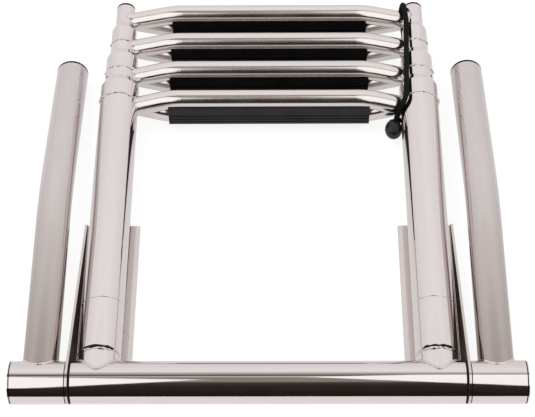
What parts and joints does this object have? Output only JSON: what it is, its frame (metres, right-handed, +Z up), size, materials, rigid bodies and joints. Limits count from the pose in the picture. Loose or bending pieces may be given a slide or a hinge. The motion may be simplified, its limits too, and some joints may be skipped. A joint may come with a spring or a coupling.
{
  "type": "telescoping swim platform ladder",
  "caption": "Stainless telescoping boarding ladder that folds flat over a swim platform, with swing-up grab handles, black treads and an elastic keeper.",
  "frame": {"origin": "on the underside of the two base plates, at the centre of their bolt pattern", "axes": "+X across the ladder to the right, +Y from the hinge towards the folded tip, +Z up from the platform"},
  "size_m": [0.4572, 0.4642, 0.058],
  "materials": {
    "polished_steel": "mirror-polished stainless steel tube",
    "bracket_steel": "polished stainless steel sheet",
    "tread_plastic": "black ribbed plastic, satin",
    "cap_plastic": "black moulded plastic",
    "bushing_nylon": "black nylon",
    "bungee_elastic": "black braided elastic cord",
    "bungee_ball": "black moulded plastic ball"
  },
  "bodies": {
    "brackets": {"bracket_left": "bracket_steel", "bracket_right": "bracket_steel", "hinge_pins": "polished_steel"},
    "ladder_frame": {"cross_tube": "polished_steel", "stub_left": "polished_steel", "stub_right": "polished_steel", "cross_bushings": "bushing_nylon", "foot_gaskets": "bushing_nylon", "foot_collar_left": "polished_steel", "foot_collar_right": "polished_steel", "column_1_left": "polished_steel", "column_1_right": "polished_steel", "slide_bushings_1": "bushing_nylon", "collars_2": "polished_steel", "rung_1": "polished_steel", "tread_1": "tread_plastic", "bungee_cord": "bungee_elastic", "bungee_ball": "bungee_ball"},
    "stage_2": {"column_2_left": "polished_steel", "column_2_right": "polished_steel", "rung_2": "polished_steel", "tread_2": "tread_plastic", "slide_bushings_2": "bushing_nylon", "collars_3": "polished_steel"},
    "stage_3": {"column_3_left": "polished_steel", "column_3_right": "polished_steel", "rung_3": "polished_steel", "tread_3": "tread_plastic", "slide_bushings_3": "bushing_nylon", "collars_4": "polished_steel"},
    "stage_4": {"column_4_left": "polished_steel", "column_4_right": "polished_steel", "rung_4": "polished_steel", "tread_4": "tread_plastic", "tip_caps": "cap_plastic"},
    "handle_left": {"handle_sleeve_left": "polished_steel", "sleeve_bushing_left": "bushing_nylon", "sleeve_cap_left": "polished_steel", "handle_tube_left": "polished_steel", "handle_tip_cap_left": "cap_plastic"},
    "handle_right": {"handle_sleeve_right": "polished_steel", "sleeve_bushing_right": "bushing_nylon", "sleeve_cap_right": "polished_steel", "handle_tube_right": "polished_steel", "handle_tip_cap_right": "cap_plastic"}
  },
  "joints": [
    {"name": "ladder_swing", "type": "hinge", "parent": "brackets", "child": "ladder_frame", "pos_m": [0, -0.107, 0.029], "axis": [1, 0, 0], "range_deg": [0, 270]},
    {"name": "stage_2_slide", "type": "slide", "parent": "ladder_frame", "child": "stage_2", "axis": [0, 1, 0], "range_m": [0, 0.24], "deforming": ["bungee_cord"]},
    {"name": "stage_3_slide", "type": "slide", "parent": "stage_2", "child": "stage_3", "axis": [0, 1, 0], "range_m": [0, 0.24], "deforming": ["bungee_cord"]},
    {"name": "stage_4_slide", "type": "slide", "parent": "stage_3", "child": "stage_4", "axis": [0, 1, 0], "range_m": [0, 0.24], "deforming": ["bungee_cord"]},
    {"name": "handle_left_swing", "type": "hinge", "parent": "brackets", "child": "handle_left", "pos_m": [0, -0.107, 0.029], "axis": [1, 0, 0], "range_deg": [0, 90]},
    {"name": "handle_right_swing", "type": "hinge", "parent": "brackets", "child": "handle_right", "pos_m": [0, -0.107, 0.029], "axis": [1, 0, 0], "range_deg": [0, 90]}
  ]
}
